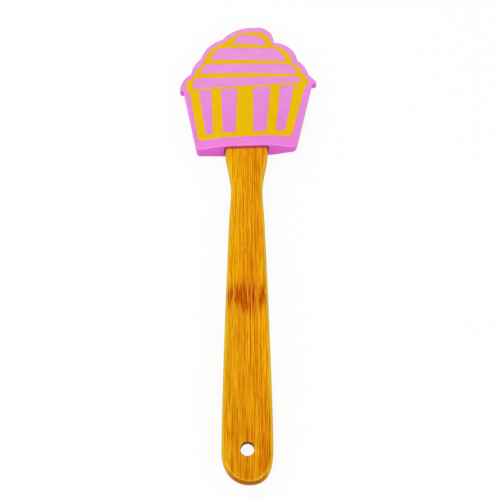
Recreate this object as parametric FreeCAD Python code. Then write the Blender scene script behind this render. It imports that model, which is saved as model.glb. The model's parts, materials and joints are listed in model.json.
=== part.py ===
import FreeCAD, Part
import math
import os

# Scraper with a cupcake-shaped silicone head on a flat bamboo handle, in millimetres.
# It lies on its back: X runs across, Y from the tail of the handle to the tip of the head,
# Z up from the table. X = 0 is the handle's axis, Y = 0 is midway between tail and tip.

# Handle
handle_free_length = 154.2     # from the tail to the mouth of the head
handle_thickness = 7.2
grip_width = 21.6              # widest place, near the tail
palm_width = 20.6
middle_width = 19.0
waist_width = 17.15
throat_width = 15.5
neck_width = 14.7              # narrowest place
shoulder_width = 17.4
mouth_width = 20.3             # where the handle enters the head
palm_to_mouth = 108.0
middle_to_mouth = 78.0
waist_to_mouth = 50.0
throat_to_mouth = 31.0
neck_to_mouth = 20.5
shoulder_to_mouth = 10.7
tail_low_shift = 0.8           # the lowest point of the tail lies this far right of the axis
tail_left_length = 12.7        # from the tail to the widest place
tail_right_length = 14.5
tail_left_fullness = 0.58      # 0.55 is a quarter of an ellipse, more is squarer
tail_right_fullness = 0.69
handle_edge_radius = 1.6
hang_hole_diameter = 5.8
hang_hole_to_tail = 14.2
hang_hole_rim_radius = 0.4

# Tongue of the handle, inside the head
tongue_length = 32.0
tongue_straight = 2.0          # full section this far in, before the taper
tongue_tip_width = 16.6
tongue_tip_thickness = 3.0
tongue_tip_edge_radius = 1.2
tongue_tip_wall = 1.3          # silicone under the tongue's tip
socket_clearance = 0.15
socket_rim_radius = 0.5
socket_lead = 2.0              # how far the cutter of the socket starts outside the base

# Head in plan: the cup at the mouth, the frosting towards the tip
cup_base_width = 47.2
cup_base_slant = 1.7           # degrees, right side nearer the tip
cup_rim_slant = 3.5
cup_rim_shift = 0.75           # the middle of the rim lies this far right of the axis
cup_height = 32.5
frosting_width = 65.3
frosting_height = 36.9
frosting_overhang = 1.7        # past the rim of the cup, at each side
base_left_radius = 2.2
base_right_radius = 2.6
curl_left_radius = 1.3
curl_right_radius = 1.0
curl_root = 1.04               # where the curls spring from the cup's sides, in its heights
notch_radius = 0.7
crown_radius = 8.0

# Head in section, from the parting plane of its mould
base_front_thickness = 3.4
base_back_thickness = 3.2
tip_front_thickness = 1.9
tip_back_thickness = 1.9
back_lean = 0.9                # lower at the left end of the base and higher at its right, on the back
belly_front = 3.4              # swelling over the tongue, on the front
belly_back = 1.8
belly_flat_width = 17.0
belly_slope_width = 15.0       # from the flat part down to the plain face, at each side
belly_length = 38.0
foot_height = 0.4              # flat foot on the back of the socket, which rests on the table
foot_width = 22.0
foot_length = 11.0
foot_to_mouth = 2.2
foot_corner_radius = 3.5
front_wall = 2.0               # silicone over the tongue at the mouth
head_edge_radius = 0.9
parting_ridge_height = 0.4
parting_ridge_proud = 0.12
face_margin = 6.0              # how far the working faces run past the head

# Yellow line design, let into the front face
inlay_depth = 0.8
inlay_corner_radius = 1.0
cell_corner_radius = 0.5

# Places that follow from the sizes
cup_rim_width = frosting_width - 2 * frosting_overhang
head_height = cup_height + frosting_height
y_tail = -(handle_free_length + head_height) / 2
y_mouth = y_tail + handle_free_length
parting_z = foot_height + belly_back + base_back_thickness
front_z = parting_z + base_front_thickness + belly_front
handle_mid_z = front_z - front_wall - handle_thickness / 2
above_all = front_z + face_margin
below_all = -face_margin


def at(x, y, z=0.0):
    return FreeCAD.Vector(x, y, z)


def run_between(start, through, end):
    if through is None:
        return Part.makeLine(start, end)
    return Part.Arc(start, through, end).toShape()


def outline_wire(corners):
    # Each corner is (point, radius, through): the run to the next corner is an arc by way
    # of through, or straight where that is None. Corners are rounded by their radius.
    count = len(corners)
    runs = []
    for index, (point, radius, through) in enumerate(corners):
        runs.append(run_between(point, through, corners[(index + 1) % count][0]))
    setbacks = []
    turns = []
    for index, (point, radius, through) in enumerate(corners):
        before = runs[index - 1]
        after = runs[index]
        turn = before.tangentAt(before.LastParameter).getAngle(after.tangentAt(after.FirstParameter))
        room = 0.45 * min(before.Length, after.Length)
        setbacks.append(min(radius * math.tan(turn / 2), room))
        turns.append(turn)
    edges = []
    for index, run in enumerate(runs):
        following = (index + 1) % count
        first = run.getParameterByLength(setbacks[index])
        last = run.getParameterByLength(run.Length - setbacks[following])
        edges.append(run.Curve.toShape(first, last))
    rounded = []
    for index, edge in enumerate(edges):
        if setbacks[index] > 1e-6:
            rounded.append(corner_curve(edges[index - 1], edge, setbacks[index], turns[index]))
        rounded.append(edge)
    return Part.Wire(rounded)


def corner_curve(before, after, setback, turn):
    # Cubic that leaves and joins both runs without a kink, close to a circular arc.
    start = before.valueAt(before.LastParameter)
    end = after.valueAt(after.FirstParameter)
    pull = 4 / 3 * math.tan(turn / 4) * setback / math.tan(turn / 2)
    curve = Part.BezierCurve()
    curve.setPoles([
        start,
        start + before.tangentAt(before.LastParameter) * pull,
        end - after.tangentAt(after.FirstParameter) * pull,
        end,
    ])
    return curve.toShape()


def prism(wire, bottom, top):
    face = Part.Face(wire)
    face.translate(at(0, 0, bottom))
    return face.extrude(at(0, 0, top - bottom))


def largest_solid(shape):
    return max(shape.Solids, key=lambda solid: solid.Volume)


# Handle

def handle_side(sign, tail_length):
    stations = [
        (mouth_width, 0.0),
        (shoulder_width, shoulder_to_mouth),
        (neck_width, neck_to_mouth),
        (throat_width, throat_to_mouth),
        (waist_width, waist_to_mouth),
        (middle_width, middle_to_mouth),
        (palm_width, palm_to_mouth),
        (grip_width, handle_free_length - tail_length),
    ]
    points = [at(sign * width / 2, y_mouth - below) for width, below in stations]
    curve = Part.BSplineCurve()
    curve.interpolate(Points=points, InitialTangent=at(0, -1), FinalTangent=at(0, -1))
    return curve.toShape()


def tail_quarter(sign, length, fullness):
    # From the widest place round to the lowest point of the tail.
    side = sign * grip_width / 2
    reach = side - tail_low_shift
    curve = Part.BezierCurve()
    curve.setPoles([
        at(side, y_tail + length),
        at(side, y_tail + length * (1 - fullness)),
        at(tail_low_shift + reach * fullness, y_tail),
        at(tail_low_shift, y_tail),
    ])
    return curve.toShape()


def handle_blank():
    edges = [
        Part.makeLine(at(mouth_width / 2, y_mouth), at(-mouth_width / 2, y_mouth)),
        handle_side(1, tail_right_length),
        tail_quarter(1, tail_right_length, tail_right_fullness),
        tail_quarter(-1, tail_left_length, tail_left_fullness),
        handle_side(-1, tail_left_length),
    ]
    outline = Part.Wire(Part.sortEdges(edges)[0])
    low = handle_mid_z - handle_thickness / 2
    blank = prism(outline, low, low + handle_thickness)
    flat_edges = []
    for edge in blank.Edges:
        box = edge.BoundBox
        if box.ZLength < 1e-6 and box.YLength > 1e-6:
            flat_edges.append(edge)
    return blank.makeFillet(handle_edge_radius, flat_edges)


def tongue_section(y, width, thickness, radius, mid_z):
    # Rounded rectangle that stands across the handle's axis at y.
    half = width / 2
    plate = Part.makeBox(width, 1.0, thickness, at(-half, y, mid_z - thickness / 2))
    long_edges = [edge for edge in plate.Edges if edge.BoundBox.YLength > 0.5]
    plate = plate.makeFillet(radius, long_edges)
    face = min(plate.Faces, key=lambda each: each.CenterOfMass.y)
    return face.OuterWire


def tongue(clearance, lead=0.0):
    # The tongue itself, or the cutter of its socket with a clearance all round and a
    # lead that starts outside the mouth.
    grow = 2 * clearance
    width = mouth_width + grow
    thickness = handle_thickness + grow
    radius = handle_edge_radius + clearance
    start = tongue_section(y_mouth - lead, width, thickness, radius, handle_mid_z)
    straight = Part.Face(start).extrude(at(0, lead + tongue_straight, 0))
    shoulder = tongue_section(y_mouth + tongue_straight, width, thickness, radius, handle_mid_z)
    tip = tongue_section(
        y_mouth + tongue_length + clearance,
        tongue_tip_width + grow,
        tongue_tip_thickness + grow,
        tongue_tip_edge_radius + clearance,
        back_height(0, tongue_length) + tongue_tip_wall + tongue_tip_thickness / 2,
    )
    return straight.fuse(Part.makeLoft([shoulder, tip], True, True))


def hang_hole():
    y = y_tail + hang_hole_to_tail
    height = above_all - below_all
    return Part.makeCylinder(hang_hole_diameter / 2, height, at(0, y, below_all))


def make_bamboo_handle():
    handle = handle_blank().cut(hang_hole())
    rims = []
    for edge in handle.Edges:
        if isinstance(edge.Curve, Part.Circle) and edge.isClosed():
            if abs(edge.Curve.Radius - hang_hole_diameter / 2) < 1e-6:
                rims.append(edge)
    handle = handle.makeFillet(hang_hole_rim_radius, rims)
    return handle.fuse(tongue(0.0)).removeSplitter()


# Head

def ease(share):
    # 1 at 0, 0 from 1 on, level at both ends.
    share = min(max(share, 0.0), 1.0)
    return 0.5 * (1 + math.cos(math.pi * share))


def belly_across(x):
    return ease((abs(x) - belly_flat_width / 2) / belly_slope_width)


def belly(x, up):
    # Share of the swelling at x across and up from the mouth.
    return belly_across(x) * ease(up / belly_length)


def front_height(x, up):
    thickness = base_front_thickness + (tip_front_thickness - base_front_thickness) * up / head_height
    return parting_z + thickness + belly_front * belly(x, up)


def back_height(x, up):
    thickness = base_back_thickness + (tip_back_thickness - base_back_thickness) * up / head_height
    lean = back_lean * x / (cup_base_width / 2) * (1 - belly_across(x)) * ease(up / belly_length)
    return parting_z - thickness - belly_back * belly(x, up) + lean


def face_of_head(height, shift=0.0):
    # Smooth face over the whole head at height(x, up), moved by shift in Z.
    reach = frosting_width / 2 + face_margin
    columns = 21
    rows = 21
    grid = []
    for column in range(columns):
        x = -reach + 2 * reach * column / (columns - 1)
        line = []
        for row in range(rows):
            up = -face_margin + (head_height + 2 * face_margin) * row / (rows - 1)
            line.append(at(x, y_mouth + up, height(x, up) + shift))
        grid.append(line)
    surface = Part.BSplineSurface()
    surface.interpolate(grid)
    return surface.toShape()


def on_cup(across, up):
    # across: -0.5 to 0.5 of the cup's width; up: 0 at the base line, 1 at the rim line.
    base_x = across * cup_base_width
    rim_x = cup_rim_shift + across * cup_rim_width
    base_y = base_x * math.tan(math.radians(cup_base_slant))
    rim_y = cup_height + rim_x * math.tan(math.radians(cup_rim_slant))
    return at(base_x + (rim_x - base_x) * up, y_mouth + base_y + (rim_y - base_y) * up)


def on_frosting(across, up):
    # across: shares of the frosting's width from the axis; up: shares of its height.
    return at(across * frosting_width, y_mouth + cup_height + up * frosting_height)


def head_outline():
    return outline_wire([
        (on_cup(-0.5, 0), base_left_radius, None),
        (on_cup(0.5, 0), base_right_radius, None),
        (on_cup(0.5, curl_root), notch_radius, None),
        (on_frosting(0.535, 0.095), curl_right_radius, on_frosting(0.502, 0.168)),
        (on_frosting(0.466, 0.236), notch_radius, on_frosting(0.434, 0.372)),
        (on_frosting(0.387, 0.457), notch_radius, on_frosting(0.329, 0.662)),
        (on_frosting(0.208, 0.745), notch_radius, on_frosting(0.171, 0.932)),
        (on_frosting(0.06, 0.989), crown_radius, on_frosting(-0.083, 0.939)),
        (on_frosting(-0.183, 0.796), notch_radius, on_frosting(-0.281, 0.688)),
        (on_frosting(-0.342, 0.494), notch_radius, on_frosting(-0.392, 0.383)),
        (on_frosting(-0.416, 0.25), notch_radius, on_frosting(-0.467, 0.159)),
        (on_frosting(-0.496, -0.016), curl_left_radius, None),
        (on_cup(-0.5, curl_root), notch_radius, None),
    ])


def inlay_outline():
    return outline_wire([
        (on_cup(-0.464, 0.157), inlay_corner_radius, on_cup(-0.024, 0.143)),
        (on_cup(0.430, 0.175), inlay_corner_radius, None),
        (on_frosting(0.435, 0.033), cell_corner_radius, on_frosting(0.458, 0.076)),
        (on_frosting(0.465, 0.122), cell_corner_radius, on_frosting(0.452, 0.176)),
        (on_frosting(0.423, 0.231), cell_corner_radius, on_frosting(0.396, 0.328)),
        (on_frosting(0.346, 0.407), cell_corner_radius, on_frosting(0.298, 0.602)),
        (on_frosting(0.195, 0.688), cell_corner_radius, on_frosting(0.153, 0.854)),
        (on_frosting(0.046, 0.916), crown_radius, on_frosting(-0.07, 0.867)),
        (on_frosting(-0.165, 0.737), cell_corner_radius, on_frosting(-0.267, 0.621)),
        (on_frosting(-0.323, 0.418), cell_corner_radius, on_frosting(-0.369, 0.301)),
        (on_frosting(-0.404, 0.174), cell_corner_radius, on_frosting(-0.449, 0.041)),
        (on_frosting(-0.42, -0.049), cell_corner_radius, None),
    ])


def frosting_fields():
    # Pink fields between the yellow lines, from the top ring down.
    rings = [
        [
            (on_frosting(-0.1, 0.727), None),
            (on_frosting(0.147, 0.699), on_frosting(0.125, 0.794)),
            (on_frosting(0.031, 0.859), on_frosting(-0.06, 0.829)),
        ],
        [
            (on_frosting(-0.267, 0.466), on_frosting(0, 0.463)),
            (on_frosting(0.291, 0.437), on_frosting(0.27, 0.561)),
            (on_frosting(0.202, 0.645), on_frosting(0.015, 0.653)),
            (on_frosting(-0.174, 0.659), on_frosting(-0.242, 0.582)),
        ],
        [
            (on_frosting(-0.338, 0.249), on_frosting(0, 0.255)),
            (on_frosting(0.368, 0.237), on_frosting(0.365, 0.317)),
            (on_frosting(0.32, 0.39), on_frosting(0, 0.403)),
            (on_frosting(-0.297, 0.395), on_frosting(-0.328, 0.333)),
        ],
        [
            (on_frosting(-0.395, 0.013), None),
            (on_frosting(0.395, 0.109), on_frosting(0.402, 0.158)),
            (on_frosting(0.378, 0.2), on_frosting(0, 0.188)),
            (on_frosting(-0.371, 0.176), on_frosting(-0.402, 0.086)),
        ],
    ]
    return [
        outline_wire([(point, cell_corner_radius, through) for point, through in ring])
        for ring in rings
    ]


def cup_fields():
    # Pink pleats: left and right side at the rim, the same at the foot, and the foot's height.
    pleats = [
        (-0.383, -0.285, -0.383, -0.319, 0.238),
        (-0.210, -0.082, -0.222, -0.106, 0.230),
        (0.041, 0.178, 0.062, 0.178, 0.228),
        (0.252, 0.361, 0.273, 0.354, 0.258),
    ]
    rim = 1.032
    fields = []
    for rim_left, rim_right, foot_left, foot_right, foot in pleats:
        points = [
            on_cup(foot_left, foot),
            on_cup(foot_right, foot),
            on_cup(rim_right, rim),
            on_cup(rim_left, rim),
        ]
        fields.append(outline_wire([(point, cell_corner_radius, None) for point in points]))
    return fields


def inlay_blank():
    blank = prism(inlay_outline(), below_all, above_all)
    for field in frosting_fields() + cup_fields():
        blank = blank.cut(prism(field, below_all, above_all))
    return blank


def round_head_edges(head):
    # All the way round, front and back, where the faces meet the upright side.
    rims = []
    for edge in head.Edges:
        upright = edge.BoundBox.ZLength > 0.9 * edge.Length
        if not upright:
            rims.append(edge)
    return head.makeFillet(head_edge_radius, rims)


def parting_ridge():
    # Thin line of flash that the two halves of the mould leave round the side.
    outline = head_outline()
    outline.scale(1 + 2 * parting_ridge_proud / frosting_width, at(0, y_mouth + head_height / 2))
    low = parting_z - parting_ridge_height / 2
    return prism(outline, low, low + parting_ridge_height)


def resting_foot():
    side = foot_width / 2
    near = y_mouth + foot_to_mouth
    far = near + foot_length
    outline = outline_wire([
        (at(-side, near), foot_corner_radius, None),
        (at(side, near), foot_corner_radius, None),
        (at(side, far), foot_corner_radius, None),
        (at(-side, far), foot_corner_radius, None),
    ])
    return prism(outline, 0, parting_z)


def cut_socket(head):
    head = largest_solid(head.cut(tongue(socket_clearance, socket_lead)))
    half_width = mouth_width / 2 + socket_clearance
    half_height = handle_thickness / 2 + socket_clearance
    slope = math.tan(math.radians(cup_base_slant))
    rim = []
    for edge in head.Edges:
        middle = edge.valueAt((edge.FirstParameter + edge.LastParameter) / 2)
        on_base = abs(middle.y - y_mouth - middle.x * slope) < 0.01
        across = abs(middle.x) < half_width + 0.01
        in_height = abs(middle.z - handle_mid_z) < half_height + 0.01
        if on_base and across and in_height:
            rim.append(edge)
    return head.makeFillet(socket_rim_radius, rim)


def make_head_and_inlay():
    depth = above_all - below_all
    blank = prism(head_outline(), below_all, above_all)
    under_front = face_of_head(front_height).extrude(at(0, 0, -depth))
    over_back = face_of_head(back_height).extrude(at(0, 0, depth))
    head = largest_solid(blank.common(under_front).common(over_back))
    head = round_head_edges(head).fuse(parting_ridge()).fuse(resting_foot())
    front_skin = face_of_head(front_height, -inlay_depth).extrude(at(0, 0, depth))
    cutter = inlay_blank().common(front_skin)
    inlay = largest_solid(head.common(cutter))
    head = cut_socket(largest_solid(head.cut(cutter)))
    return largest_solid(head), inlay


def main():
    os.makedirs("parts", exist_ok=True)
    head, inlay = make_head_and_inlay()
    nodes = {
        "bamboo_handle": make_bamboo_handle(),
        "silicone_head": head,
        "yellow_inlay": inlay,
    }
    for name, shape in nodes.items():
        shape.exportStep("parts/" + name + ".step")
        box = shape.optimalBoundingBox(False)
        print(name, len(shape.Solids), shape.isValid(), round(shape.Volume, 1),
              [round(v, 2) for v in (box.XMin, box.XMax, box.YMin, box.YMax, box.ZMin, box.ZMax)])


main()
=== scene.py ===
import json
import math

import bmesh
import bpy
from mathutils import Matrix, Vector, noise


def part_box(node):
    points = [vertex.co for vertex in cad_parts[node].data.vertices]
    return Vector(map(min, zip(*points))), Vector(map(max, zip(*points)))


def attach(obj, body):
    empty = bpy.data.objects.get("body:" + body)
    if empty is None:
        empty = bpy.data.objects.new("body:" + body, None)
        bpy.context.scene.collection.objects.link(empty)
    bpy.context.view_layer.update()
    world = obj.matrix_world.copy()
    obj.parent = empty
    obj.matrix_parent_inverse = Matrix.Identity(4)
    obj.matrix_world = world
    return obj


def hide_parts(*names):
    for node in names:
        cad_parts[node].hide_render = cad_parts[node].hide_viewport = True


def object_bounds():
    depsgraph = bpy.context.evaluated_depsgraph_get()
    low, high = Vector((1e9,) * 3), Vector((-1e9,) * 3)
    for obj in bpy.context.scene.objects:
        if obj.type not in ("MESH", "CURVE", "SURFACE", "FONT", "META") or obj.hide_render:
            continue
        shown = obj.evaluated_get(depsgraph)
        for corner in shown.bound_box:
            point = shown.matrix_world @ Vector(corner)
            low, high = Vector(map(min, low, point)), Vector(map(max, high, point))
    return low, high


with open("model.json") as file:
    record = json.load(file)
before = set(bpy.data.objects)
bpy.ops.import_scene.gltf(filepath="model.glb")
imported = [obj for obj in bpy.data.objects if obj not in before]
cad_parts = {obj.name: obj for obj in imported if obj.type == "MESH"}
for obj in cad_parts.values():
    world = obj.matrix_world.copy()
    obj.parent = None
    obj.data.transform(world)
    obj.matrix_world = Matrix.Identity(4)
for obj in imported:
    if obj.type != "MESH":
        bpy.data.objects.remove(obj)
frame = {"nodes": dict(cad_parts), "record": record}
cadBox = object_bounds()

print("frame loaded:", ", ".join(sorted(frame["nodes"])))

record = frame["record"]
low, high = cadBox
middle = (low + high) / 2
handleLow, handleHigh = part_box("bamboo_handle")
headLow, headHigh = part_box("silicone_head")
inlayLow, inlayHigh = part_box("yellow_inlay")
hangHole = next(m for m in record["mounts"] if m["name"] == "hang_hole")
holeCentre = Vector(hangHole["pos_m"])
holeRadius = hangHole["dims"]["r_mm"] / 1000
mm = 0.001


# where the base of the head stands over the handle, felt for by rays that run just above the wood
def mouthAt(x):
    start = Vector((x, handleLow.y, handleHigh.z + 1.2 * mm))
    return frame["nodes"]["silicone_head"].ray_cast(start, Vector((0, 1, 0)))[1].y


feelAt = 7 * mm                    # to each side of the axis
mouthY = mouthAt(0.0)
mouthSlope = (mouthAt(feelAt) - mouthAt(-feelAt)) / (2 * feelAt)
handlePoints = [vert.co for vert in frame["nodes"]["bamboo_handle"].data.vertices]
mouthHalf = max(abs(point.x) for point in handlePoints if abs(point.y - mouthY) < 1 * mm)


# colours are given as on a screen, 0 to 255, and turned into the linear values that nodes take
def tone(red, green, blue):
    linear = []
    for value in (red, green, blue):
        value = value / 255
        linear.append(value / 12.92 if value <= 0.04045 else ((value + 0.055) / 1.055) ** 2.4)
    return (*linear, 1.0)


# shorthand for building node trees
def newMaterial(name):
    material = bpy.data.materials.new(name)
    material.use_nodes = True
    material.node_tree.nodes.clear()
    return material, material.node_tree


def addNode(tree, kind, inputs=None, **settings):
    node = tree.nodes.new("ShaderNode" + kind)
    for key, value in settings.items():
        setattr(node, key, value)
    for key, value in (inputs or {}).items():
        feed(tree, node.inputs[key], value)
    return node


def feed(tree, socket, value):
    if isinstance(value, bpy.types.NodeSocket):
        tree.links.new(value, socket)
    else:
        socket.default_value = value


def calc(tree, operation, *values, clamp=False):
    node = tree.nodes.new("ShaderNodeMath")
    node.operation = operation
    node.use_clamp = clamp
    for index, value in enumerate(values):
        feed(tree, node.inputs[index], value)
    return node.outputs[0]


def plus(tree, first, second, clamp=False):
    return calc(tree, "ADD", first, second, clamp=clamp)


def minus(tree, first, second):
    return calc(tree, "SUBTRACT", first, second)


def times(tree, first, second):
    return calc(tree, "MULTIPLY", first, second)


def distance(tree, first, second):
    return calc(tree, "SQRT", calc(tree, "MULTIPLY_ADD", first, first, times(tree, second, second)))


def blendTones(tree, share, first, second, mode="MIX"):
    node = tree.nodes.new("ShaderNodeMix")
    node.data_type = "RGBA"
    node.blend_type = mode
    node.clamp_factor = True
    feed(tree, node.inputs["Factor"], share)
    feed(tree, node.inputs[6], first)
    feed(tree, node.inputs[7], second)
    return node.outputs[2]


# goes smoothly from bottom to top while the value goes from start to end, either way round
def stepBetween(tree, value, start, end, top=1.0, bottom=0.0):
    node = addNode(tree, "MapRange", {"Value": value, "From Min": start, "From Max": end,
                                      "To Min": bottom, "To Max": top})
    node.interpolation_type = "SMOOTHSTEP"
    node.clamp = True
    return node.outputs["Result"]


# noise whose waves take the given mm along X, Y and Z
def grainNoise(tree, vector, sizes, seed, detail=1.0, roughness=0.5):
    mapping = addNode(tree, "Mapping", {"Vector": vector,
                                        "Location": (seed * 7.3, seed * 3.1, seed * 5.7),
                                        "Scale": tuple(1 / size for size in sizes)})
    node = addNode(tree, "TexNoise", {"Vector": mapping.outputs[0], "Scale": 1.0, "Detail": detail,
                                      "Roughness": roughness})
    return node.outputs["Fac"]


# the texture coordinates, and the place in mm
def millimetres(tree):
    where = addNode(tree, "TexCoord")
    scaled = addNode(tree, "VectorMath", {0: where.outputs["Object"], "Scale": 1000.0}, operation="SCALE")
    return where, scaled.outputs[0]


# soft oval patches added up, each one across, up, width, height and depth
def patches(tree, across, up, shapes):
    total = 0.0
    for x, y, wide, tall, depth in shapes:
        dx = calc(tree, "DIVIDE", minus(tree, across, x), wide)
        dy = calc(tree, "DIVIDE", minus(tree, up, y), tall)
        squared = plus(tree, times(tree, dx, dx), times(tree, dy, dy))
        bell = calc(tree, "POWER", math.e, times(tree, squared, -1.0))
        total = calc(tree, "MULTIPLY_ADD", bell, depth, total)
    return total


# the same without a width: a band right across
def band(tree, up, y, tall, depth):
    return patches(tree, 0.0, up, [(0.0, y, 1.0, tall, depth)])


# turns noise from 0 to 1 into a move to both sides, the given amount in all
def swing(tree, value, amount):
    return times(tree, minus(tree, value, 0.5), amount)


# the places of the mouth and the handle again, in the mm that the materials count in
mouth = {
    "along": mouthY * 1000,
    "halfWidth": mouthHalf * 1000,
    "corner": 1.6,                 # rounding of the handle's long edges
    "midDepth": (handleLow.z + handleHigh.z) / 2 * 1000,
    "halfDepth": (handleHigh.z - handleLow.z) / 2 * 1000,
}


# how far past the base of the head a point lies, towards the tip
def pastMouth(tree, across, along):
    return minus(tree, along, calc(tree, "MULTIPLY_ADD", across, mouthSlope, mouth["along"]))


# how far a point lies from the line where silicone and bamboo meet, all round the handle
def fromMouthLine(tree, across, along, deep):
    beside = minus(tree, calc(tree, "ABSOLUTE", across), mouth["halfWidth"] - mouth["corner"])
    depth = calc(tree, "ABSOLUTE", minus(tree, deep, mouth["midDepth"]))
    above = minus(tree, depth, mouth["halfDepth"] - mouth["corner"])
    reach = distance(tree, calc(tree, "MAXIMUM", beside, 0.0), calc(tree, "MAXIMUM", above, 0.0))
    return distance(tree, minus(tree, reach, mouth["corner"]), pastMouth(tree, across, along))


# a piece of its own from the mesh of a CAD node, cut into small cells so that it can be shaped
def pieceFromNode(nodeName, pieceName, cell, shaping):
    mesh = frame["nodes"][nodeName].data
    work = bmesh.new()
    work.from_mesh(mesh)
    bmesh.ops.remove_doubles(work, verts=work.verts, dist=1e-7)
    lowest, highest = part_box(nodeName)
    for axis in (0, 1):
        normal = Vector((0, 0, 0))
        normal[axis] = 1
        count = int((highest[axis] - lowest[axis]) / cell)
        for index in range(1, count):
            place = Vector(lowest)
            place[axis] = lowest[axis] + (highest[axis] - lowest[axis]) * index / count
            bmesh.ops.bisect_plane(work, geom=work.verts[:] + work.edges[:] + work.faces[:],
                                   plane_co=place, plane_no=normal, dist=1e-7)
    work.normal_update()
    moves = [shaping(vert.co, vert.normal) for vert in work.verts]
    for vert, move in zip(work.verts, moves):
        vert.co += move
    bmesh.ops.triangulate(work, faces=[face for face in work.faces if len(face.verts) > 4])
    shaped = bpy.data.meshes.new(pieceName)
    work.to_mesh(shaped)
    work.free()
    piece = bpy.data.objects.new(pieceName, shaped)
    bpy.context.scene.collection.objects.link(piece)
    shaped.shade_smooth()
    shaped.set_sharp_from_angle(angle=math.radians(38))
    weighting = piece.modifiers.new("evenNormals", "WEIGHTED_NORMAL")
    weighting.keep_sharp = True
    weighting.weight = 100
    return piece


# bamboo handle
bamboo = {
    "cell": 1.6 * mm,
    "sandedWave": 0.05 * mm,       # how far the hand sanding leaves the faces uneven
    "roughness": 0.46,
    "darkFibre": tone(184, 78, 0),
    "lightFibre": tone(255, 192, 20),
    "yellowSide": tone(238, 174, 2),
    "orangeSide": tone(230, 145, 0),
    "tailSide": tone(203, 117, 0),
    # painted highlight colour for the rounded edges
    "edgeHighlightGold": tone(228, 204, 46),
    # painted highlight colour for the broken line round the tail
    "tailRimHighlight": tone(255, 206, 70),
    "endGrain": tone(144, 80, 6),
    "burntHole": tone(236, 160, 60),
    # painted pink reflection and painted shadow where the head meets the handle
    "pinkBounceAndShadow": tone(192, 60, 62),
    "meander": 0.7,                # mm that the fibres wander to the sides
    "nodeBend": 0.9,               # and that they bend beside the node
    "bundlePitch": 0.85,           # mm between the long fibre bundles
    "bundleLean": 0.7,             # mm to the side for each mm of depth
    "bundleShare": 0.08,
    "fibreLayers": {               # mm of a wave across, along and deep, then between which values of
                                   # the noise the wood darkens or lightens, and by what share
        "lines": {"wave": (0.21, 56, 0.9), "darkens": (0.50, 0.34, 0.88), "lightens": (0.53, 0.66, 0.64)},
        "streaks": {"wave": (0.21, 16, 0.8), "darkens": (0.47, 0.31, 0.68), "lightens": (0.53, 0.68, 0.62)},
        "threads": {"wave": (0.24, 7, 0.7), "darkens": (0.46, 0.28, 0.50), "lightens": (0.54, 0.74, 0.48)},
        "flecks": {"wave": (0.28, 2.6, 0.5), "darkens": (0.38, 0.22, 0.35), "lightens": (0.62, 0.76, 0.30)},
    },
    "sideBlend": (-10.0, 8.0),     # from yellow to orange, mm right of the axis
    "sideSwing": 26.0,             # painted gold highlight on the rounded side edges
    "sideHighlightShare": 0.65,             # gold on the sides
    "edgeHighlightShare": 0.4,          # and the painted highlight in the broken line along the top of the edge
    "tailHighlightShare": 0.85,              # painted highlight in that line round the tail
    "bounceReach": (3.8, 1.6),       # mm below the mouth where the painted pink reflection starts on the sides and is full
    "shadowLineReach": (1.4, 0.2),       # the same for the painted shadow line
    "nodeAt": 0.533,               # share of the way from the tail to the head
    "nodeStain": tone(191, 73, 0),
    "nodeDeep": tone(128, 46, 2),
    "nodePale": tone(248, 180, 58),
    "nodeBand": (0.0, 5.0, 0.42),  # the even stain: up from the node's middle in mm, height, depth
    "crowdedBand": (-1.5, 9.5, 0.55),  # the same for the dark streaks that crowd there
    "nodeFray": 16.0,              # mm that the stain is drawn out along the fibres
    "nodeKnots": [                 # across and up from the node's middle in mm, width, height, depth
        (-7.9, -1.7, 1.6, 3.4, 1.5),
        (-4.2, -2.0, 0.9, 2.4, 0.5),
        (-1.8, 0.6, 2.0, 3.6, 1.35),
        (-1.4, -5.0, 1.5, 4.4, 0.9),
        (1.0, -4.4, 1.3, 4.8, 1.05),
        (2.9, -1.6, 0.8, 3.8, 0.9),
        (6.5, -1.8, 0.9, 4.8, 0.75),
        (7.8, 0.8, 1.1, 3.4, 0.8),
    ],
    "nodeSpecks": [                # the same for the darkest specks in it
        (-8.6, -1.5, 0.26, 0.6, 1.0),
        (-5.35, -2.9, 0.22, 0.9, 1.0),
        (-2.5, -0.4, 0.6, 0.45, 1.0),
        (-1.4, 1.7, 0.4, 0.9, 0.8),
        (2.6, -2.1, 0.4, 0.7, 0.9),
        (5.4, -0.9, 0.32, 0.4, 0.6),
        (7.5, 0.2, 0.26, 0.8, 1.0),
        (8.0, -1.4, 0.24, 0.32, 1.0),
    ],
    "nodeStreaks": [               # and for the pale fibres that run through it
        (-5.9, -0.6, 0.24, 3.2, 0.9),
        (0.45, -0.2, 0.22, 3.6, 0.95),
        (1.85, -3.0, 0.18, 5.0, 0.7),
        (3.9, 0.6, 0.4, 2.2, 0.55),
        (8.3, 0.8, 0.3, 1.0, 0.8),
    ],
}
nodeY = (handleLow.y + (headLow.y - handleLow.y) * bamboo["nodeAt"]) * 1000


def sandHandle(place, normal):
    wave = noise.noise(Vector((place.x * 90, place.y * 45, place.z * 60)))
    return -normal * bamboo["sandedWave"] * (0.5 + 0.5 * wave)


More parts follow.
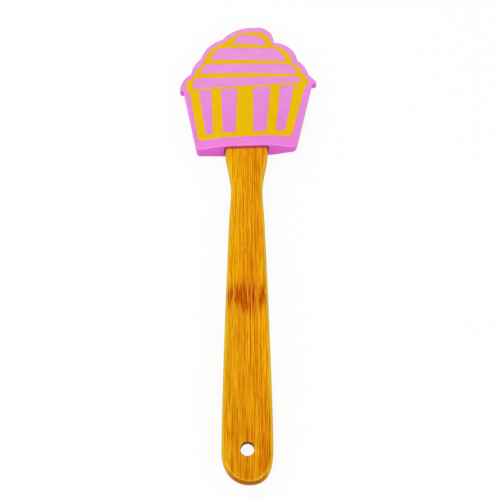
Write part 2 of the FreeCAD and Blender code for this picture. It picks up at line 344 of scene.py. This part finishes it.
# fibres run straight but wander a little, and bend round the knots of the node
def layFibres(tree, grain):
    s = bamboo
    across, along, deep = addNode(tree, "SeparateXYZ", {0: grain}).outputs
    fromNode = minus(tree, along, nodeY)
    meander = grainNoise(tree, grain, (14, 46, 14), 1)
    ripple = grainNoise(tree, grain, (2.4, 6, 2.4), 2)
    nearNode = times(tree, swing(tree, ripple, s["nodeBend"]), band(tree, fromNode, 0.0, 9.0, 1.0))
    fibreX = plus(tree, across, plus(tree, swing(tree, meander, s["meander"]), nearNode))
    fibres = addNode(tree, "CombineXYZ", {0: fibreX, 1: along, 2: deep}).outputs[0]
    wood = {"across": across, "along": along, "deep": deep, "fromNode": fromNode,
            "grain": grain, "fibreX": fibreX, "fibres": fibres}
    for seed, (name, layer) in enumerate(s["fibreLayers"].items(), start=4):
        wood[name] = grainNoise(tree, fibres, layer["wave"], seed)

    # the long lines stand in bundles, side by side
    uneven = grainNoise(tree, fibres, (1.6, 90, 2.0), 13)
    rank = plus(tree, calc(tree, "MULTIPLY_ADD", deep, s["bundleLean"], fibreX), swing(tree, uneven, 2.0))
    bundles = calc(tree, "SINE", times(tree, rank, 2 * math.pi / s["bundlePitch"]))
    wood["lines"] = calc(tree, "MULTIPLY_ADD", bundles, s["bundleShare"], wood["lines"])
    return wood


# yellow on the left, more orange on the right and down at the tail, with all the fibres in it
def fibreSkin(tree, wood):
    s = bamboo
    strips = grainNoise(tree, wood["fibres"], (3.2, 120, 5), 3)
    side = stepBetween(tree, plus(tree, wood["across"], swing(tree, strips, s["sideSwing"])), *s["sideBlend"])
    skin = blendTones(tree, side, s["yellowSide"], s["orangeSide"])
    down = stepBetween(tree, wood["along"], nodeY, handleLow.y * 1000, top=0.75)
    skin = blendTones(tree, down, skin, s["tailSide"])
    for name, layer in s["fibreLayers"].items():
        for change, colour in (("darkens", "darkFibre"), ("lightens", "lightFibre")):
            start, end, share = layer[change]
            skin = blendTones(tree, stepBetween(tree, wood[name], start, end, top=share), skin, s[colour])
    return skin


# the node: a stained band with knots, drawn out along the fibres, and pale fibres left in it
def nodeSkin(tree, wood, skin):
    s = bamboo
    fray = grainNoise(tree, wood["fibres"], (0.5, 14, 1.0), 8, detail=2, roughness=0.6)
    frayed = plus(tree, wood["fromNode"], swing(tree, fray, s["nodeFray"]))
    stain = plus(tree, patches(tree, wood["fibreX"], frayed, s["nodeKnots"]),
                 band(tree, frayed, *s["nodeBand"]), clamp=True)
    stain = times(tree, stain, stepBetween(tree, wood["threads"], 0.72, 0.42, bottom=0.5))
    crowded = times(tree, band(tree, wood["fromNode"], *s["crowdedBand"]),
                    stepBetween(tree, wood["streaks"], 0.54, 0.36))
    skin = blendTones(tree, crowded, skin, s["nodeStain"])
    skin = blendTones(tree, stain, skin, s["nodeStain"])
    veins = times(tree, stepBetween(tree, wood["streaks"], 0.5, 0.34, top=0.55),
                  stepBetween(tree, stain, 0.3, 0.8))
    skin = blendTones(tree, veins, skin, s["nodeDeep"])
    grit = grainNoise(tree, wood["grain"], (0.5, 1.1, 0.5), 9)
    gritty = times(tree, stepBetween(tree, grit, 0.58, 0.74), stepBetween(tree, stain, 0.4, 0.9, top=0.7))
    specks = plus(tree, patches(tree, wood["across"], wood["fromNode"], s["nodeSpecks"]), gritty, clamp=True)
    skin = blendTones(tree, times(tree, specks, 0.85), skin, s["nodeDeep"])
    pale = patches(tree, wood["fibreX"], wood["fromNode"], s["nodeStreaks"])
    return blendTones(tree, pale, skin, s["nodePale"])


# painted highlights: gold on the rounded edges along the sides, and a broken pale line round the tail, over
# brown end grain
def edgeHighlightsAndEndGrain(tree, wood, skin, facing):
    s = bamboo
    sideways, lengthways, onTop = facing
    leaning = calc(tree, "SQRT", minus(tree, 1.0004, times(tree, onTop, onTop)))  # never quite nought
    heading = calc(tree, "DIVIDE", lengthways, leaning)
    edge = times(tree, stepBetween(tree, onTop, 1.0, 0.998), stepBetween(tree, onTop, 0.955, 0.985))
    edge = times(tree, edge, stepBetween(tree, wood["streaks"], 0.44, 0.58, bottom=0.05))
    # painted highlight on the rounded side edges, and a broken painted highlight line where the top starts to
    # curve
    sideEdge = times(tree, stepBetween(tree, calc(tree, "ABSOLUTE", sideways), 0.2, 0.6),
                     stepBetween(tree, onTop, 0.1, 0.5))
    skin = blendTones(tree, times(tree, sideEdge, s["sideHighlightShare"]), skin, s["edgeHighlightGold"])
    skin = blendTones(tree, times(tree, edge, s["edgeHighlightShare"]), skin, s["edgeHighlightGold"])
    pores = grainNoise(tree, wood["grain"], (0.5, 0.8, 0.45), 10)
    endOn = times(tree, stepBetween(tree, heading, -0.2, -0.95), stepBetween(tree, onTop, 0.965, 0.85))
    endOn = times(tree, endOn, stepBetween(tree, pores, 0.66, 0.42, bottom=0.35, top=0.95))
    skin = blendTones(tree, endOn, skin, s["endGrain"])
    # painted highlight: the broken pale line round the tail
    rim = times(tree, edge, stepBetween(tree, heading, -0.15, -0.45))
    return blendTones(tree, times(tree, rim, s["tailHighlightShare"]), skin, s["tailRimHighlight"])


# painted pink reflection from the base of the head on the sides, and a painted shadow line where it grips the
# handle
def mouthBounceAndShadow(tree, wood, skin, onTop):
    s = bamboo
    past = pastMouth(tree, wood["across"], wood["along"])
    below = times(tree, past, -1.0)
    bounce = times(tree, stepBetween(tree, below, *s["bounceReach"]),
                   stepBetween(tree, past, 0.8, 0.2))  # the tongue in the head stays plain wood
    bounce = times(tree, bounce, stepBetween(tree, onTop, 0.985, 0.7, top=0.75))
    skin = blendTones(tree, bounce, skin, s["pinkBounceAndShadow"])
    away = fromMouthLine(tree, wood["across"], wood["along"], wood["deep"])
    return blendTones(tree, stepBetween(tree, away, *s["shadowLineReach"], top=0.85), skin, s["pinkBounceAndShadow"])


def bambooMaterial():
    material, tree = newMaterial("bambooLacquered")
    where, grain = millimetres(tree)
    facing = addNode(tree, "SeparateXYZ", {0: where.outputs["Normal"]}).outputs
    wood = layFibres(tree, grain)
    skin = fibreSkin(tree, wood)
    skin = nodeSkin(tree, wood, skin)
    skin = edgeHighlightsAndEndGrain(tree, wood, skin, facing)
    skin = mouthBounceAndShadow(tree, wood, skin, facing[2])
    height = plus(tree, times(tree, wood["streaks"], 0.5), times(tree, wood["threads"], 0.8))
    relief = addNode(tree, "Bump", {"Height": height, "Strength": 0.4, "Distance": 0.12 * mm})
    rough = bamboo["roughness"]
    gloss = stepBetween(tree, wood["threads"], 0.3, 0.7, bottom=rough - 0.06, top=rough + 0.1)
    shader = addNode(tree, "BsdfPrincipled", {"Base Color": skin, "Roughness": gloss,
                                              "Normal": relief.outputs[0]})
    shader.inputs["Specular IOR Level"].default_value = 0.02
    addNode(tree, "OutputMaterial", {"Surface": shader.outputs[0]})
    return material


# inside of the hang hole, raw and browned by the drill
def drilledMaterial():
    material, tree = newMaterial("bambooDrilled")
    fibres = grainNoise(tree, millimetres(tree)[1], (0.4, 2.5, 1.2), 12, detail=2)
    colour = blendTones(tree, stepBetween(tree, fibres, 0.35, 0.65), bamboo["burntHole"], bamboo["endGrain"])
    relief = addNode(tree, "Bump", {"Height": fibres, "Strength": 0.5, "Distance": 0.1 * mm})
    shader = addNode(tree, "BsdfPrincipled", {"Base Color": colour, "Normal": relief.outputs[0]})
    shader.inputs["Roughness"].default_value = 0.9
    shader.inputs["Specular IOR Level"].default_value = 0.0
    addNode(tree, "OutputMaterial", {"Surface": shader.outputs[0]})
    return material


handlePiece = pieceFromNode("bamboo_handle", "bambooHandle", bamboo["cell"], sandHandle)
handlePiece.data.materials.clear()
handlePiece.data.materials.append(bambooMaterial())
handlePiece.data.materials.append(drilledMaterial())
for face in handlePiece.data.polygons:
    fromHole = face.center - holeCentre
    face.material_index = int(math.hypot(fromHole.x, fromHole.y) < holeRadius + 0.1 * mm)
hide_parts("bamboo_handle")
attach(handlePiece, "handle")
print("bamboo handle:", len(handlePiece.data.vertices), "points")


# silicone scraper head and its second colour
silicone = {
    "cell": 2.0 * mm,
    "mouldWave": 0.05 * mm,
    "tipPink": tone(233, 150, 216),
    "cupPink": tone(230, 132, 216),
    "lipPink": tone(237, 130, 218),
    # painted shade colour for the base wall of the head
    "shadedWallPink": tone(226, 104, 215),
    # painted highlight colour for the rounded rim
    "rimHighlightPink": tone(246, 168, 232),
    # painted shadow colour where the silicone grips the handle
    "gripShadowPink": tone(180, 44, 90),
    "lipFade": (8, 5),             # mm up from the base of the cup
    "gripShadowReach": (0.7, 0.1),        # mm from the line where it grips the handle, where the painted shadow starts and is full
    "yellowLow": tone(235, 187, 0),
    "yellowHigh": tone(236, 184, 10),
    "roughness": 0.5,
}


def settleHead(place, normal):
    # both colours sink together from the mould, so the lines stay flush; the back stays down
    lifted = (place.z - headLow.z) / (headHigh.z - headLow.z)
    wave = noise.noise(Vector((place.x * 40, place.y * 40, 0.0)))
    return Vector((0, 0, -silicone["mouldWave"] * (0.5 + 0.5 * wave) * lifted))


# cloudy, matt and softly lit through, with a little dust; each colour has its own seed
def siliconeShader(tree, colour, grain, seed):
    rough = silicone["roughness"]
    cloud = grainNoise(tree, grain, (9, 9, 9), seed, detail=3)
    matt = grainNoise(tree, grain, (0.35, 0.35, 0.35), seed + 1, detail=2, roughness=0.6)
    dust = grainNoise(tree, grain, (0.5, 0.5, 0.5), seed + 2, detail=0)
    shade = stepBetween(tree, cloud, 0.3, 0.7, bottom=0.97, top=1.03)
    shades = addNode(tree, "CombineColor", {0: shade, 1: shade, 2: shade}).outputs[0]
    colour = blendTones(tree, 1.0, colour, shades, "MULTIPLY")
    relief = addNode(tree, "Bump", {"Height": matt, "Strength": 0.12, "Distance": 0.05 * mm})
    sag = addNode(tree, "Bump", {"Height": cloud, "Strength": 0.2, "Distance": 0.3 * mm,
                                 "Normal": relief.outputs[0]})
    gloss = plus(tree, stepBetween(tree, matt, 0.35, 0.65, bottom=rough - 0.05, top=rough + 0.05),
                 stepBetween(tree, dust, 0.7, 0.8, top=0.1))
    shader = addNode(tree, "BsdfPrincipled", {"Base Color": colour, "Roughness": gloss,
                                              "Normal": sag.outputs[0]})
    shader.inputs["Specular IOR Level"].default_value = 0.05
    shader.inputs["IOR"].default_value = 1.41
    shader.inputs["Subsurface Weight"].default_value = 0.12
    shader.inputs["Subsurface Radius"].default_value = (1.0, 0.55, 0.8)
    shader.inputs["Subsurface Scale"].default_value = 1.2 * mm
    addNode(tree, "OutputMaterial", {"Surface": shader.outputs[0]})


def pinkMaterial():
    s = silicone
    material, tree = newMaterial("pinkSilicone")
    where, grain = millimetres(tree)
    across, along, deep = addNode(tree, "SeparateXYZ", {0: grain}).outputs
    base = headLow.y * 1000
    upward = stepBetween(tree, along, base + 4, headHigh.y * 1000 - 8)
    colour = blendTones(tree, upward, s["cupPink"], s["tipPink"])
    lipStart, lipEnd = s["lipFade"]
    lip = stepBetween(tree, along, base + lipStart, base + lipEnd)
    colour = blendTones(tree, lip, colour, s["lipPink"])
    # painted shade: faces that look towards the tail, at the base of the head, take a deeper, darker pink
    facing = addNode(tree, "SeparateXYZ", {0: where.outputs["Normal"]}).outputs
    colour = blendTones(tree, stepBetween(tree, facing[1], -0.35, -0.95), colour, s["shadedWallPink"])
    # painted highlight along the thin rounded rim
    rounded = times(tree, stepBetween(tree, facing[2], 0.95, 0.8), stepBetween(tree, facing[2], 0.3, 0.6))
    colour = blendTones(tree, times(tree, rounded, 0.5), colour, s["rimHighlightPink"])
    # and painted shadow where the silicone grips the handle
    away = fromMouthLine(tree, across, along, deep)
    colour = blendTones(tree, stepBetween(tree, away, *s["gripShadowReach"], top=0.85), colour, s["gripShadowPink"])
    siliconeShader(tree, colour, grain, 11)
    return material


def yellowMaterial():
    s = silicone
    material, tree = newMaterial("yellowSilicone")
    grain = millimetres(tree)[1]
    along = addNode(tree, "SeparateXYZ", {0: grain}).outputs[1]
    upward = stepBetween(tree, along, inlayLow.y * 1000 + 20, inlayHigh.y * 1000)
    siliconeShader(tree, blendTones(tree, upward, s["yellowLow"], s["yellowHigh"]), grain, 21)
    return material


headPiece = pieceFromNode("silicone_head", "cupcakeScraper", silicone["cell"], settleHead)
headPiece.data.materials.clear()
headPiece.data.materials.append(pinkMaterial())
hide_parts("silicone_head")
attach(headPiece, "head")

inlayPiece = pieceFromNode("yellow_inlay", "cupcakeLines", silicone["cell"], settleHead)
inlayPiece.data.materials.clear()
inlayPiece.data.materials.append(yellowMaterial())
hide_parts("yellow_inlay")
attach(inlayPiece, "head")
print("silicone head:", len(headPiece.data.vertices), "points")
print("yellow lines:", len(inlayPiece.data.vertices), "points")


# table, room and lamps
studio = {
    "floorTone": (0.92, 0.92, 0.92, 1.0),
    "shadowShare": 0.09,           # how much of the real floor, with its shadow, shows through the white
    "roomStrength": 0.62,
    "keyPower": 2.6,
    "keyAt": (-0.3, 0.3, 0.8),     # metres from the middle of the part
    "keySize": 0.5,
    "fillPower": 5.0,
    "fillAt": (0.3, -1.1, 0.7),
    "fillSize": 0.4,
}


def seenDirectly(tree):
    rays = addNode(tree, "LightPath")
    seen = calc(tree, "MAXIMUM", rays.outputs["Is Camera Ray"], rays.outputs["Is Glossy Ray"])
    return calc(tree, "MAXIMUM", seen, rays.outputs["Is Transmission Ray"])


def makeFloor():
    half = 8.0
    sheet = bpy.data.meshes.new("tableTop")
    corners = [(-half, -half), (half, -half), (half, half), (-half, half)]
    sheet.from_pydata([(x, y, low.z - 0.02 * mm) for x, y in corners], [], [(0, 1, 2, 3)])
    table = bpy.data.objects.new("tableTop", sheet)
    bpy.context.scene.collection.objects.link(table)
    material, tree = newMaterial("whiteTable")
    surface = addNode(tree, "BsdfDiffuse", {"Color": studio["floorTone"]})
    white = addNode(tree, "Emission", {"Color": (1, 1, 1, 1), "Strength": 1.0})
    share = times(tree, seenDirectly(tree), 1 - studio["shadowShare"])
    both = addNode(tree, "MixShader", {0: share, 1: surface.outputs[0], 2: white.outputs[0]})
    addNode(tree, "OutputMaterial", {"Surface": both.outputs[0]})
    sheet.materials.append(material)


def makeRoom():
    world = bpy.data.worlds.new("paleRoom")
    world.use_nodes = True
    tree = world.node_tree
    tree.nodes.clear()
    strength = calc(tree, "MAXIMUM", seenDirectly(tree), studio["roomStrength"])
    light = addNode(tree, "Background", {"Color": (1, 1, 1, 1), "Strength": strength})
    addNode(tree, "OutputWorld", {"Surface": light.outputs[0]})
    bpy.context.scene.world = world


def makeLamp(name, power, offset, size):
    lamp = bpy.data.lights.new(name, "AREA")
    lamp.energy = power
    lamp.shape = "DISK"
    lamp.size = size
    holder = bpy.data.objects.new(name, lamp)
    holder.location = middle + Vector(offset)
    holder.rotation_euler = (middle - holder.location).to_track_quat("-Z", "Y").to_euler()
    bpy.context.scene.collection.objects.link(holder)


makeFloor()
makeRoom()
makeLamp("keySoftbox", studio["keyPower"], studio["keyAt"], studio["keySize"])
makeLamp("fillSoftbox", studio["fillPower"], studio["fillAt"], studio["fillSize"])
print("table, room and lamps ready")


# camera, looking down from the tail's side
view = {
    "aim": Vector((1.43, 103.6, 3.6)) * mm,  # from the bottom of the tail, on the handle's axis
    "distance": 0.40065,
    "lean": 21.17,                           # degrees from straight down, towards the head
    "roll": -0.264,
    "lens": 63.6,
}


def makeCamera():
    camera = bpy.data.cameras.new("overhead")
    camera.lens = view["lens"]
    camera.sensor_width = 36
    camera.clip_start = 0.01
    holder = bpy.data.objects.new("overhead", camera)
    turn = Matrix.Rotation(math.radians(view["lean"]), 4, "X")
    turn = turn @ Matrix.Rotation(math.radians(view["roll"]), 4, "Z")
    back = turn @ Vector((0, 0, view["distance"]))
    tail = Vector(((handleLow.x + handleHigh.x) / 2, handleLow.y, handleLow.z))
    holder.matrix_world = Matrix.Translation(tail + view["aim"] + back) @ turn
    bpy.context.scene.collection.objects.link(holder)
    bpy.context.scene.camera = holder


makeCamera()
bpy.context.scene.view_settings.view_transform = "Standard"
